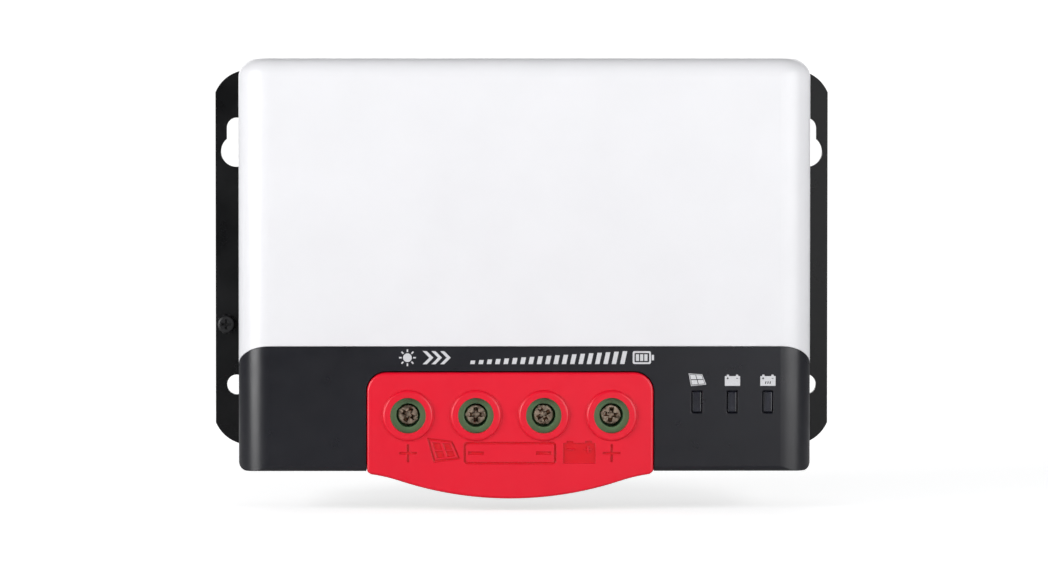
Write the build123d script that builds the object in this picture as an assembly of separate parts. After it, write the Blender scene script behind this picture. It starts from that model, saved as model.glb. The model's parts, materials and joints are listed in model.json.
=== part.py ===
from build123d import *
from math import cos, radians, sin
import os

# Wall-mounted solar charge controller with four screw terminals.
#
# Millimetres. X is across the front, Z is up the wall and the front faces -Y, so a height above the wall
# is -Y. The origin is on the wall plane, behind the middle of the covers.
# An extruded aluminium heatsink with mounting flanges carries the circuit board and, in front of it, two
# plastic covers that meet on a slanted parting line. A red cover closes the terminal bay: behind its four
# round holes are green terminal blocks, whose screws raise brass wire cages.

# ---------------------------------------------------------------- driving dimensions
# Covers
BODY_W = 192.6
BODY_H = 138.2
COVER_FRONT = 58.5  # height of the covers' front face above the wall
WALL = 2.2
SIDE_RADIUS = 11.0
TOP_RADIUS = 6.4  # along the top edge and round both upper corners
BOTTOM_RADIUS = 1.8
BOTTOM_CORNER_RADIUS = 3.2
PARTING_Z = -27.3  # where the covers meet on the front face
PARTING_SLOPE = 0.62  # drop of the parting line per millimetre towards the wall
PARTING_GAP = 0.15
LIP_REACH = 2.5
LIP_THICKNESS = 1.2
LIP_CLEARANCE = 0.15

# Heatsink
PLATE_FRONT = 22.0
PLATE_T = 4.0
PLATE_W = 188.0
PLATE_H = 137.2
FIN_T = 2.0
FIN_PITCH = 8.0
FIN_COUNT = 21
FIN_TIP_RADIUS = 0.4
FIN_ROOT_RADIUS = 0.8
SIDE_WALL_OUTER = 93.5
SIDE_WALL_T = 3.0
FLANGE_T = 2.5
FLANGE_EDGE = 107.75
FLANGE_TOP = 67.8
FLANGE_BOTTOM = -64.1
FLANGE_CORNER_RADIUS = 12.8
FLANGE_CORNER_INSET = 11.8  # from the flange's edge to its corner arcs' centres
FLANGE_ROOT_RADIUS = 1.5

# Wall fixings, in the flanges
HOLE_X = 100.4
LOWER_HOLE_Z = -42.9
LOWER_HOLE_R = 3.5
KEYHOLE_Z = 39.3
KEYHOLE_R = 5.55
KEYHOLE_SLOT_R = 3.5
KEYHOLE_SLOT_RISE = 8.3

# Terminals
TERMINAL_PITCH = 22.65
TERMINAL_COUNT = 4
TERMINAL_MIDDLE_X = -5.13
TERMINAL_Z = -50.4
TURN_PITCH = 0.7  # thread pitch of the terminal screws
CAGE_TRAVEL = 9 * TURN_PITCH
BLOCK_W = 20.0
BLOCK_TOP = -39.2
BLOCK_BOTTOM = -66.0
BLOCK_FRONT = 57.0
TUBE_R = 4.0
TERMINAL_HEAD_R = 3.45
TERMINAL_HEAD_T = 2.5
SCREW_TURNS = [28, 0, 62, 8]  # degrees at which each terminal screw's slot has come to rest
M4_R = 2.0

# Terminal cover
BAY_MIDDLE_X = -5.0
BAY_W = 95.6
BAY_TOP = -36.0
BAY_CORNER_RADIUS = 6.5
BELLY_BOTTOM = -78.2
BELLY_RADIUS = 118.0
BELLY_SWEEP = 18.2  # degrees of the big arc on each side of the middle
FLARE_RADIUS = 56.0
FLARE_SWEEP = 10.2
RED_FRONT = 59.3
RED_T = 2.0
RED_GAP = 0.35
RED_SKIRT_T = 1.8
RED_SKIRT_BACK = 46.0
BAY_WALL_T = 1.6
ACCESS_R = 5.95
RING_R = 8.5
RING_RISE = 1.0
SYMBOL_DEPTH = 0.5
MARK_Z = -62.95  # middle of the polarity marks below the holes

# Circuit board
BOARD_BACK = 28.0
BOARD_T = 1.6
BOARD_FRONT = BOARD_BACK + BOARD_T
BOARD_HALF_W = 88.0
BOARD_TOP = 63.0
BOARD_BOTTOM = -64.0
M3_R = 1.5
THREAD_CLEARANCE = 0.03
BOSS_R = 3.6
BOSS_POINTS = [(x, z) for x in (-87, 87) for z in (60, -20, -60)]
STANDOFF_POINTS = [(-78, 48), (-78, -12), (0, 56), (78, 48), (78, -12), (0, -30)]
TRANSISTOR_X = [-64, -40, -16, 16, 40, 64]
TRANSISTOR_Z = 44.0  # the lower edge of the packages' metal tabs
TRANSISTOR_HOLE_Z = TRANSISTOR_Z + 6.5
INDUCTOR_X = -50.0
INDUCTOR_Z = 12.0
CORE_OUTER_R = 19.0
CORE_INNER_R = 10.5
CORE_H = 16.0
WINDING_WIRE_R = 0.8
WINDING_TURNS = 24
CORE_BACK = BOARD_FRONT + 2 * WINDING_WIRE_R + 0.4
INPUT_CAPACITOR_POINTS = [(-8, 32), (-8, 9), (14, 32)]
OUTPUT_CAPACITOR_POINTS = [(38, 32), (38, 9), (60, 32)]
CAN_R = 9.0
CAN_H = 25.0
SHUNT_X = 22.0
SHUNT_Z = -26.0
CHIP_X = 62.0
CHIP_Z = -6.0
CHIP_PITCH = 0.8

# Indicators
INDICATOR_X = {"solar": 57.4, "battery": 69.2, "type": 81.1}
INDICATOR_Z = -45.9
WINDOW_W = 3.5
WINDOW_H = 7.3
WINDOW_CHAMFER = 0.3

# Connectors in the bottom edge
PORT_X = 61.6
PORT_W = 13.2
PORT_RISE = 13.0
SENSOR_X = 77.1
SENSOR_W = 9.0
SENSOR_RISE = 8.0
BUTTON_X = 49.8
BUTTON_RISE = 4.4  # height of the button's axis above the board
BUTTON_R = 1.8
BUTTON_TRAVEL = 0.5
BOTTOM_CLEARANCE = 0.3

# Earthing point, in the left flange
EARTH_X = -103.8
EARTH_Z = -21.6

BODY_BOTTOM = -BODY_H / 2
BLOCK_CAVITY_BACK = 31.2
BLOCK_CAVITY_FRONT = 50.2
TERMINAL_X = [
    TERMINAL_MIDDLE_X + TERMINAL_PITCH * (i - (TERMINAL_COUNT - 1) / 2)
    for i in range(TERMINAL_COUNT)
]


# ---------------------------------------------------------------- shared shapes
def plane_at(height):
    """A plane parallel to the wall: its local x is X, its local y is Z and its normal points to the front."""
    return Plane.XZ.offset(height)


def slab(x0, x1, z0, z1, low, high):
    """A box between two X, two Z and two heights above the wall."""
    size = Box(x1 - x0, high - low, z1 - z0)
    return Pos((x0 + x1) / 2, -(low + high) / 2, (z0 + z1) / 2) * size


def post(x, z, radius, low, high):
    """A cylinder that stands out from the wall between two heights."""
    return extrude(plane_at(low) * Pos(x, z) * Circle(radius), high - low)


def upright(x, height, radius, z0, z1):
    """A cylinder whose axis is vertical."""
    return extrude(Plane.XY.offset(z0) * Pos(x, -height) * Circle(radius), z1 - z0)


def raised(sketch, low, high):
    """A sketch drawn in X and Z, extruded between two heights above the wall."""
    return extrude(plane_at(low) * sketch, high - low)


def front_edges(part, height):
    """The edges of a part that lie at one height above the wall."""
    return part.edges().filter_by_position(Axis.Y, -height - 0.001, -height + 0.001)


def hexagon_post(x, z, across_flats, low, high):
    sketch = RegularPolygon(across_flats / 2, 6, major_radius=False)
    return raised(Pos(x, z) * sketch, low, high)


def pan_screw(x, z, shank_r, head_r, head_t, head_low, tip, facing=1):
    """A cross-recessed pan-head screw along Y. facing is 1 with the head to the front, -1 to the wall."""
    head_high = head_low + head_t
    head = post(x, z, head_r, head_low, head_high)
    crown = head_high if facing > 0 else head_low
    head = fillet(front_edges(head, crown), head_t * 0.4)
    low, high = sorted((crown, crown - facing * head_t * 0.6))
    for half_w, half_h in ((head_r * 0.55, head_r * 0.13), (head_r * 0.13, head_r * 0.55)):
        head -= slab(x - half_w, x + half_w, z - half_h, z + half_h, low, high)
    low, high = sorted((head_low if facing > 0 else head_high, tip))
    return head + post(x, z, shank_r, low, high)


def parting_z(height, shift=0.0):
    """Z of the covers' parting plane at a height above the wall."""
    return PARTING_Z - PARTING_SLOPE * (COVER_FRONT - height) + shift


def below_parting(shift=0.0):
    """Everything below the slanted parting plane."""
    front, back, far = COVER_FRONT + 10, PLATE_FRONT - 10, -200
    corners = [
        (-front, parting_z(front, shift)),
        (-back, parting_z(back, shift)),
        (-back, far),
        (-front, far),
    ]
    return extrude(Plane.YZ * make_face(Polyline(*corners, close=True)), 200, both=True)


def cover_form(inset):
    """The closed form that both covers are cut from, with every face moved in by inset."""
    half_w, half_h = BODY_W / 2 - inset, BODY_H / 2 - inset
    front, back = COVER_FRONT - inset, PLATE_FRONT
    middle, depth = -(front + back) / 2, front - back
    across = Pos(0, middle) * Rectangle(2 * half_w, depth)
    across = fillet(across.vertices().group_by(Axis.Y)[0], SIDE_RADIUS - inset)
    upward = Pos(middle, 0) * Rectangle(depth, 2 * half_h)
    fronts = upward.vertices().group_by(Axis.X)[0].sort_by(Axis.Y)
    upward = fillet(fronts[0], max(BOTTOM_RADIUS - inset, 0.4))
    outline = Rectangle(2 * half_w, 2 * half_h)
    corners = outline.vertices().group_by(Axis.Y)
    outline = fillet(corners[0], max(BOTTOM_CORNER_RADIUS - inset, 0.6))
    form = extrude(across, 100, both=True)
    form &= extrude(Plane.YZ * upward, 200, both=True)
    form &= extrude(Plane.XZ * outline, 100, both=True)
    top = form.faces().sort_by(Axis.Z)[-1]
    rim = top.edges().sort_by(Axis.Y)[:-1]
    return fillet(rim, TOP_RADIUS - inset)


def add_bosses(shell, points):
    """Screw bosses from the front wall down to the heatsink's plate, each ribbed to the side wall."""
    inside = cover_form(WALL / 2)
    for x, z in points:
        shell += post(x, z, BOSS_R, PLATE_FRONT, COVER_FRONT) & inside
        near, far = sorted((x, x * 1.1))
        shell += slab(near, far, z - 0.8, z + 0.8, PLATE_FRONT + 6, COVER_FRONT) & inside
        shell -= post(x, z, M3_R + THREAD_CLEARANCE, PLATE_FRONT, PLATE_FRONT + 12)
    return shell


def bay_outline(grow=0.0, bottom=-90.0):
    """The terminal bay's outline, open at the bottom, with its sides and top moved out by grow."""
    half_w, top = BAY_W / 2 + grow, BAY_TOP + grow
    box = Pos(BAY_MIDDLE_X, (top + bottom) / 2) * Rectangle(2 * half_w, top - bottom)
    corners = box.vertices().group_by(Axis.Y)[-1]
    return fillet(corners, BAY_CORNER_RADIUS + grow)


# ---------------------------------------------------------------- covers
def upper_cover():
    shell = cover_form(0) - cover_form(WALL) - below_parting(PARTING_GAP / 2)
    return add_bosses(shell, [p for p in BOSS_POINTS if p[1] > -30])


def lower_cover():
    shell = (cover_form(0) - cover_form(WALL)) & below_parting(-PARTING_GAP / 2)
    shell = add_bosses(shell, [p for p in BOSS_POINTS if p[1] < -30])
    # walls that shut the terminal bay off from the electronics
    bay_wall = bay_outline(RED_GAP + BAY_WALL_T) - bay_outline(RED_GAP)
    shell += raised(bay_wall, BOARD_FRONT + 0.2, COVER_FRONT) & cover_form(WALL / 2)
    # a lip that reaches up inside the upper cover
    lip_inside = cover_form(WALL + LIP_THICKNESS)
    shell += (cover_form(WALL - 0.2) - lip_inside) & (below_parting(-0.4) - below_parting(-4))
    tongue = (cover_form(WALL + LIP_CLEARANCE) - lip_inside) & (
        below_parting(LIP_REACH) - below_parting(-0.6)
    )
    for x, z in BOSS_POINTS:
        tongue -= post(x, z, BOSS_R + 0.6, PLATE_FRONT, COVER_FRONT)
    shell += tongue
    # terminal bay: open to the front and to the bottom
    shell -= raised(bay_outline(RED_GAP), BOARD_FRONT + 1.0, COVER_FRONT + 1)
    for x in INDICATOR_X.values():
        window = Pos(x, INDICATOR_Z) * RectangleRounded(WINDOW_W, WINDOW_H, 0.4)
        flare = offset(window, WINDOW_CHAMFER)
        shell -= raised(window, COVER_FRONT - WALL - 1, COVER_FRONT + 1)
        shell -= loft([plane_at(COVER_FRONT - WINDOW_CHAMFER) * window, plane_at(COVER_FRONT) * flare])
    # openings in the bottom wall for the data port, the sensor socket and the button
    gap, top = BOTTOM_CLEARANCE, BODY_BOTTOM + WALL + 1
    for x, w, rise in ((PORT_X, PORT_W, PORT_RISE), (SENSOR_X, SENSOR_W, SENSOR_RISE)):
        shell -= slab(
            x - w / 2 - gap,
            x + w / 2 + gap,
            BODY_BOTTOM - 1,
            top,
            BOARD_FRONT - gap,
            BOARD_FRONT + rise + gap,
        )
    shell -= upright(
        BUTTON_X, BOARD_FRONT + BUTTON_RISE, BUTTON_R + 0.15, BODY_BOTTOM - 1, top
    )
    return shell


def belly_outline():
    """The terminal cover's front outline: round top corners, straight sides and an S-curved belly."""
    half_w = BAY_W / 2
    start = (0, BELLY_BOTTOM)
    big = JernArc(start, (1, 0), BELLY_RADIUS, BELLY_SWEEP)
    flare = JernArc(big @ 1, big % 1, FLARE_RADIUS, -FLARE_SWEEP)
    side_z = (flare @ 1).Y + 0.9
    side = Polyline(flare @ 1, (half_w, side_z), (half_w, BAY_TOP), (0, BAY_TOP), start)
    half = make_face([*big.edges(), *flare.edges(), *side.edges()])
    corners = [v for v in half.vertices() if abs(v.X - half_w) < 0.01]
    half = fillet([v for v in corners if v.Y > BAY_TOP - 1], BAY_CORNER_RADIUS)
    low = [v for v in half.vertices() if abs(v.X - half_w) < 0.01 and v.Y < side_z + 0.1]
    half = fillet(low, 1.3)
    return Pos(BAY_MIDDLE_X) * (half + mirror(half, Plane.YZ))


def plus_mark(x, z, size, stroke):
    mark = Rectangle(size, stroke) + Rectangle(stroke, size)
    return Pos(x, z) * mark


def minus_mark(x, z, size, stroke):
    return Pos(x, z) * Rectangle(size, stroke)


def panel_mark():
    """A slanted solar panel: a frame line round two by two panes."""
    top_left, top_right = (-32.7, -57.8), (-24.3, -58.9)
    low_left, low_right = (-30.5, -66.1), (-21.6, -64.9)

    def at(u, v):
        x = [a + (b - a) * u for a, b in zip(top_left, top_right)]
        y = [a + (b - a) * u for a, b in zip(low_left, low_right)]
        return tuple(a + (b - a) * v for a, b in zip(x, y))

    def patch(u0, u1, v0, v1):
        return make_face(Polyline(at(u0, v0), at(u1, v0), at(u1, v1), at(u0, v1), close=True))

    mark = patch(0, 1, 0, 1) - patch(0.07, 0.93, 0.09, 0.91)
    for u0, u1 in ((0.15, 0.46), (0.56, 0.85)):
        for v0, v1 in ((0.17, 0.47), (0.54, 0.83)):
            mark += patch(u0, u1, v0, v1)
    return mark


def shared_negative_mark():
    """A rounded frame round the two middle terminals' minus signs."""
    half_h = 3.7
    left, right, line = TERMINAL_X[1] - 4.05, TERMINAL_X[2] + 4.15, 0.7
    w, x = right - left, (left + right) / 2
    outer = Pos(x, MARK_Z) * RectangleRounded(w, 2 * half_h, 1.2)
    inner = Pos(x, MARK_Z) * RectangleRounded(w - 2 * line, 2 * half_h - 2 * line, 0.6)
    return outer - inner


def battery_mark():
    middle, half_w, top, bottom = 18.1, 5.4, -59.6, -66.4
    mark = Pos(middle, (top + bottom) / 2) * Rectangle(2 * half_w, top - bottom)
    for side in (-1, 1):
        mark += Pos(middle + side * 3.1, top + 0.25) * Rectangle(2.2, 0.9)
    mark -= minus_mark(middle - 2.9, top - 2.1, 2.4, 0.35)
    mark -= plus_mark(middle + 2.9, top - 2.1, 2.4, 0.35)
    return mark


def terminal_cover():
    outline = belly_outline()
    panel = raised(outline, RED_FRONT - RED_T, RED_FRONT)
    panel = fillet(front_edges(panel, RED_FRONT), 0.9)
    skirt = bay_outline(0) - bay_outline(-RED_SKIRT_T)
    skirt &= Pos(BAY_MIDDLE_X, (BODY_BOTTOM + 30) / 2) * Rectangle(200, 30 - BODY_BOTTOM - 0.2)
    cover = panel + raised(skirt, RED_SKIRT_BACK, RED_FRONT - RED_T)
    for x in TERMINAL_X:
        ring = post(x, TERMINAL_Z, RING_R, RED_FRONT - 0.5, RED_FRONT + RING_RISE)
        cover += fillet(front_edges(ring, RED_FRONT + RING_RISE), RING_RISE * 0.95)
    for x in TERMINAL_X:
        cover -= post(x, TERMINAL_Z, ACCESS_R, RED_SKIRT_BACK, RED_FRONT + 5)
    # snap ribs on the skirt's sides hold the cover in the bay
    for side in (-1, 1):
        x = BAY_MIDDLE_X + side * BAY_W / 2
        rib = upright(x, RED_SKIRT_BACK + 1.2, 0.25, -62, -48)
        cover += rib
    marks = [
        plus_mark(TERMINAL_X[0], MARK_Z, 5.9, 0.75),
        minus_mark(TERMINAL_X[1], MARK_Z, 5.2, 1.0),
        minus_mark(TERMINAL_X[2], MARK_Z, 5.2, 1.0),
        plus_mark(TERMINAL_X[3], MARK_Z, 5.9, 0.75),
        panel_mark(),
        shared_negative_mark(),
        battery_mark(),
    ]
    for mark in marks:
        cover -= raised(mark, RED_FRONT - SYMBOL_DEPTH, RED_FRONT + 1)
    return cover


# ---------------------------------------------------------------- heatsink
def flange_outline():
    """The right-hand flange's outline: its outer corners are arcs centred inside its edge."""
    centre_x = FLANGE_EDGE - FLANGE_CORNER_INSET
    strip = Pos((80 + FLANGE_EDGE) / 2, (FLANGE_TOP + FLANGE_BOTTOM) / 2) * Rectangle(
        FLANGE_EDGE - 80, FLANGE_TOP - FLANGE_BOTTOM
    )
    for z, side in ((FLANGE_TOP, 1), (FLANGE_BOTTOM, -1)):
        centre_z = z - side * FLANGE_CORNER_RADIUS
        corner = Pos(centre_x + 20, centre_z + side * 20) * Rectangle(40, 40)
        strip -= corner - Pos(centre_x, centre_z) * Circle(FLANGE_CORNER_RADIUS)
    return strip


def wall_fixings():
    """The right-hand flange's keyhole and its lower round hole."""
    slot_z = KEYHOLE_Z + KEYHOLE_SLOT_RISE
    keyhole = Pos(HOLE_X, KEYHOLE_Z) * Circle(KEYHOLE_R)
    keyhole += Pos(HOLE_X, (KEYHOLE_Z + slot_z) / 2) * Rectangle(
        2 * KEYHOLE_SLOT_R, KEYHOLE_SLOT_RISE
    )
    keyhole += Pos(HOLE_X, slot_z) * Circle(KEYHOLE_SLOT_R)
    return keyhole + Pos(HOLE_X, LOWER_HOLE_Z) * Circle(LOWER_HOLE_R)


def fin_profile():
    """The extruded section: a plate, its fins and two side walls, drawn in X and Y."""
    plate_back = -(PLATE_FRONT - PLATE_T)
    section = Pos(0, plate_back - PLATE_T / 2) * Rectangle(PLATE_W, PLATE_T)
    fins = [(FIN_PITCH * (i - (FIN_COUNT - 1) / 2), FIN_T) for i in range(FIN_COUNT)]
    fins += [(side * (SIDE_WALL_OUTER - SIDE_WALL_T / 2), SIDE_WALL_T) for side in (-1, 1)]
    for x, thickness in fins:
        section += Pos(x, plate_back / 2) * Rectangle(thickness, -plate_back)
    tips = [v for v in section.vertices() if v.Y > -0.01 and abs(v.X) < SIDE_WALL_OUTER - 0.01]
    section = fillet(tips, FIN_TIP_RADIUS)
    inner = PLATE_W / 2 - 1
    roots = [v for v in section.vertices() if abs(v.Y - plate_back) < 0.01 and abs(v.X) < inner]
    return fillet([v for v in roots if abs(v.X) < SIDE_WALL_OUTER - 0.01], FIN_ROOT_RADIUS)


def heatsink():
    sink = extrude(fin_profile(), PLATE_H / 2, both=True)
    flange = raised(flange_outline(), 0, FLANGE_T) & slab(
        SIDE_WALL_OUTER - 1, 200, -200, 200, 0, FLANGE_T
    )
    # the rounded root where the flange leaves the side wall
    radius = FLANGE_ROOT_RADIUS
    root = Pos(SIDE_WALL_OUTER + radius, -(FLANGE_T + radius))
    fillet_face = root * Pos(-radius / 2, radius / 2) * Rectangle(radius, radius)
    fillet_face -= root * Circle(radius)
    flange += extrude(
        Plane.XY.offset(FLANGE_BOTTOM) * fillet_face, FLANGE_TOP - FLANGE_BOTTOM
    )
    flange -= raised(wall_fixings(), -1, FLANGE_T + 1)
    sink += flange
    sink += mirror(flange, Plane.YZ)
    for x, z in BOSS_POINTS:
        sink -= post(x, z, M3_R + 0.2, PLATE_FRONT - PLATE_T - 1, PLATE_FRONT + 1)
    threads = STANDOFF_POINTS + [(x, TRANSISTOR_HOLE_Z) for x in TRANSISTOR_X]
    for x, z in threads:
        sink -= post(x, z, M3_R + THREAD_CLEARANCE, PLATE_FRONT - PLATE_T, PLATE_FRONT + 1)
    sink -= post(EARTH_X, EARTH_Z, M4_R + THREAD_CLEARANCE, -1, FLANGE_T + 1)
    return sink


def cover_screws():
    head_t = 2.0
    head_low = PLATE_FRONT - PLATE_T - head_t
    return [
        pan_screw(x, z, M3_R, 2.75, head_t, head_low, PLATE_FRONT + 10, facing=-1)
        for x, z in BOSS_POINTS
    ]


def earth_screw():
    return [pan_screw(EARTH_X, EARTH_Z, M4_R, 3.1, 2.0, FLANGE_T + 0.9, 0.2)]


def earth_washer():
    """A toothed lock washer under the earthing screw's head."""
    ring = Circle(3.0) - Circle(M4_R + 0.15)
    teeth = 10
    for i in range(teeth):
        ring += Rot(0, 0, 360 / teeth * i) * Pos(3.1, 0) * Rectangle(0.8, 0.9)
    return [raised(Pos(EARTH_X, EARTH_Z) * ring, FLANGE_T, FLANGE_T + 0.9)]


# ---------------------------------------------------------------- terminals
def terminal_block(x):
    """A green housing with a screw tube in front, a cage chamber and a wire funnel at the bottom."""
    block = slab(x - BLOCK_W / 2, x + BLOCK_W / 2, BLOCK_BOTTOM, BLOCK_TOP, BOARD_FRONT, BLOCK_FRONT)
    block = chamfer(front_edges(block, BLOCK_FRONT), 0.8)
    block -= slab(
        x - 5.8, x + 5.8, TERMINAL_Z - 4.4, TERMINAL_Z + 4.4, BLOCK_CAVITY_BACK, BLOCK_CAVITY_FRONT
    )
    # the contact bar's slot, open to the board
    block -= slab(x - 3.7, x + 3.7, TERMINAL_Z - 5.6, TERMINAL_Z + 8.2, 39.2, 41.1)
    block -= slab(x - 3.7, x + 3.7, TERMINAL_Z + 6.4, TERMINAL_Z + 8.2, BOARD_FRONT - 1, 41.1)
    block -= post(x, TERMINAL_Z, TUBE_R, 51.2, BLOCK_FRONT + 1)
    block -= post(x, TERMINAL_Z, M4_R + 0.3, BLOCK_CAVITY_FRONT - 1, 51.3)
    # wire way, with a flared mouth
    wire_low, wire_high = 33.0, 39.3
    block -= slab(x - 4.2, x + 4.2, BLOCK_BOTTOM - 1, TERMINAL_Z, wire_low, wire_high)
    middle = (wire_low + wire_high) / 2
    mouth = [
        Plane.XY.offset(BLOCK_BOTTOM) * Pos(x, -middle) * Rectangle(12.4, 10.0 - 2.6),
        Plane.XY.offset(BLOCK_BOTTOM + 2.2) * Pos(x, -middle) * Rectangle(8.4, wire_high - wire_low),
    ]
    block -= loft(mouth)
    # shallow grooves down the front third mark where the housings clip together
    for side in (-1, 1):
        edge = x + side * BLOCK_W / 2
        block -= slab(edge - 0.4, edge + 0.4, BLOCK_BOTTOM + 6, BLOCK_TOP - 6, 44, 52)
    return [block]


def wire_cage(x):
    """A brass box cage, open at its top and bottom ends: its front wall is threaded for the screw."""
    cage = slab(x - 5.5, x + 5.5, TERMINAL_Z - 4, TERMINAL_Z + 4, 31.4, 43.7)
    cage -= slab(x - 4, x + 4, TERMINAL_Z - 5, TERMINAL_Z + 5, 32.9, 41.1)
    verticals = cage.edges().filter_by(Axis.Z)
    outer = [e for e in verticals if abs(abs(e.center().X - x) - 5.5) < 0.01]
    cage = fillet(outer, 1.0)
    # grip ridges across the wire's seat
    for step in (-2.4, -0.8, 0.8, 2.4):
        ridge = Plane.YZ.offset(x - 3.6) * Pos(-32.9, TERMINAL_Z + step)
        cage -= extrude(ridge * RegularPolygon(0.25, 4), 7.2)
    cage -= post(x, TERMINAL_Z, M4_R + 0.05, 40, 45)
    return [cage]


def terminal_screw(x):
    """An M4 cheese-head screw with a shallow slot across a deep cross recess."""
    head_low = 51.3
    head_high = head_low + TERMINAL_HEAD_T
    head = post(x, TERMINAL_Z, TERMINAL_HEAD_R, head_low, head_high)
    head = fillet(front_edges(head, head_high), 0.45)
    head -= slab(x - 4, x + 4, TERMINAL_Z - 0.45, TERMINAL_Z + 0.45, head_high - 0.8, head_high + 1)
    for turn in (0, 90):
        wide = Rot(0, 0, turn) * Rectangle(4.9, 1.5)
        narrow = Rot(0, 0, turn) * Rectangle(2.4, 0.8)
        head -= loft(
            [
                plane_at(head_high - 2.0) * Pos(x, TERMINAL_Z) * narrow,
                plane_at(head_high) * Pos(x, TERMINAL_Z) * wide,
            ]
        )
    shank = post(x, TERMINAL_Z, M4_R, 41.3, head_low)
    shank = chamfer(front_edges(shank, 41.3), 0.4)
    axis = Axis((x, 0, TERMINAL_Z), (0, 1, 0))
    turn = SCREW_TURNS[round((x - TERMINAL_X[0]) / TERMINAL_PITCH)]
    return [(head + shank).rotate(axis, turn)]


def contact_bar(x):
    """The tinned copper bar that the wire is pressed to, bent down to its foot on the board."""
    flat = slab(x - 3.5, x + 3.5, TERMINAL_Z - 5.4, TERMINAL_Z + 8.0, 39.4, 40.9)
    leg = slab(x - 3.5, x + 3.5, TERMINAL_Z + 6.6, TERMINAL_Z + 8.0, BOARD_FRONT, 40.9)
    return [flat + leg]


# ---------------------------------------------------------------- indicators, ports and button
def light_pipe(x):
    """A smoked light pipe with a flat face, rounded at its edges, and a shoulder behind the cover."""
    face, half_w, half_h = COVER_FRONT - 0.5, WINDOW_W / 2 - 0.12, WINDOW_H / 2 - 0.12
    shoulder_front = COVER_FRONT - WALL - 0.1
    pipe = slab(x - half_w, x + half_w, INDICATOR_Z - half_h, INDICATOR_Z + half_h, 50, face)
    pipe = fillet(front_edges(pipe, face), 0.5)
    pipe += slab(
        x - 2.6,
        x + 2.6,
        INDICATOR_Z - half_h - 1,
        INDICATOR_Z + half_h + 1,
        shoulder_front - 1.4,
        shoulder_front,
    )
    pipe += loft(
        [
            plane_at(31.0) * Pos(x, INDICATOR_Z) * Rectangle(2.4, 3.2),
            plane_at(50.5) * Pos(x, INDICATOR_Z) * Rectangle(2 * half_w, 2 * half_h),
        ]
    )
    return [pipe]


def status_leds():
    leds = []
    for x in INDICATOR_X.values():
        led = slab(x - 1.4, x + 1.4, INDICATOR_Z - 1.8, INDICATOR_Z + 1.8, BOARD_FRONT, BOARD_FRONT + 0.6)
        led += post(x, INDICATOR_Z, 1.1, BOARD_FRONT + 0.5, BOARD_FRONT + 0.9)
        leds.append(led)
    return leds


def data_port():
    """A six-way modular jack with its mouth in the bottom edge and its latch slot to the front."""
    low, high = BOARD_FRONT, BOARD_FRONT + PORT_RISE
    bottom, top = BODY_BOTTOM + 0.3, -53.0
    jack = slab(PORT_X - PORT_W / 2, PORT_X + PORT_W / 2, bottom, top, low, high)
    mouth_low = low + 1.6
    jack -= slab(PORT_X - 4.9, PORT_X + 4.9, bottom - 1, bottom + 12, mouth_low, mouth_low + 6.7)
    jack -= slab(PORT_X - 3.1, PORT_X + 3.1, bottom - 1, bottom + 12, mouth_low + 6, mouth_low + 8.4)
    jack -= slab(PORT_X - 1.7, PORT_X + 1.7, bottom - 1, bottom + 12, mouth_low + 8, mouth_low + 9.8)
    return [jack]


def data_port_contacts():
    """Six sprung contact wires that lean into the jack's mouth."""
    back = BOARD_FRONT + 1.6
    wires = []
    for i in range(6):
        x = PORT_X + 1.27 * (i - 2.5)
        path = FilletPolyline(
            (-back - 0.35, BODY_BOTTOM + 2.3),
            (-back - 0.35, BODY_BOTTOM + 4.0),
            (-back - 2.6, BODY_BOTTOM + 11.0),
            radius=1.0,
        )
        wire = Plane.YZ.offset(x) * path
        wires.append(sweep(Plane(origin=wire @ 0, z_dir=wire % 0) * Circle(0.22), path=wire))
    return wires


def sensor_socket():
    """A two-way pin socket for the battery temperature probe."""
    low, high = BOARD_FRONT, BOARD_FRONT + SENSOR_RISE
    bottom, top = BODY_BOTTOM + 0.3, -59.5
    body = slab(SENSOR_X - SENSOR_W / 2, SENSOR_X + SENSOR_W / 2, bottom, top, low, high)
    half_w = SENSOR_W / 2 - 0.8
    body -= slab(
        SENSOR_X - half_w, SENSOR_X + half_w, bottom - 1, top - 1.6, low + 0.9, high - 0.9
    )
    for side in (-1, 1):  # polarising notches in the front wall
        x = SENSOR_X + side * 1.9
        body -= slab(x - 0.6, x + 0.6, bottom - 1, bottom + 4, high - 1.2, high + 1)
    return [body]


def sensor_pins():
    bottom, top = BODY_BOTTOM + 3.6, -59.5 - 1.6
    middle = BOARD_FRONT + SENSOR_RISE / 2
    pins = []
    for side in (-1, 1):
        x = SENSOR_X + side * 1.9
        pins.append(slab(x - 0.5, x + 0.5, bottom, top, middle - 0.5, middle + 0.5))
    return pins


def tact_switch():
    height = BOARD_FRONT + BUTTON_RISE
    body = slab(BUTTON_X - 3, BUTTON_X + 3, -63.9, -60.4, BOARD_FRONT, BOARD_FRONT + 7.2)
    return [body - upright(BUTTON_X, height, 1.5, -64.5, -62.6)]


def set_button():
    """The key cap, with a collar behind the cover and a plunger that reaches into the switch."""
    height = BOARD_FRONT + BUTTON_RISE
    cap = upright(BUTTON_X, height, BUTTON_R, BODY_BOTTOM - 0.8, BODY_BOTTOM + WALL + 0.1)
    cap = fillet(cap.edges().group_by(Axis.Z)[0], 0.4)
    collar_low = BODY_BOTTOM + WALL + 0.05
    collar = upright(BUTTON_X, height, 2.6, collar_low, collar_low + 1.0)
    plunger = upright(BUTTON_X, height, 1.3, collar_low + 0.9, -63.3)
    return [cap + collar + plunger]


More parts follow.
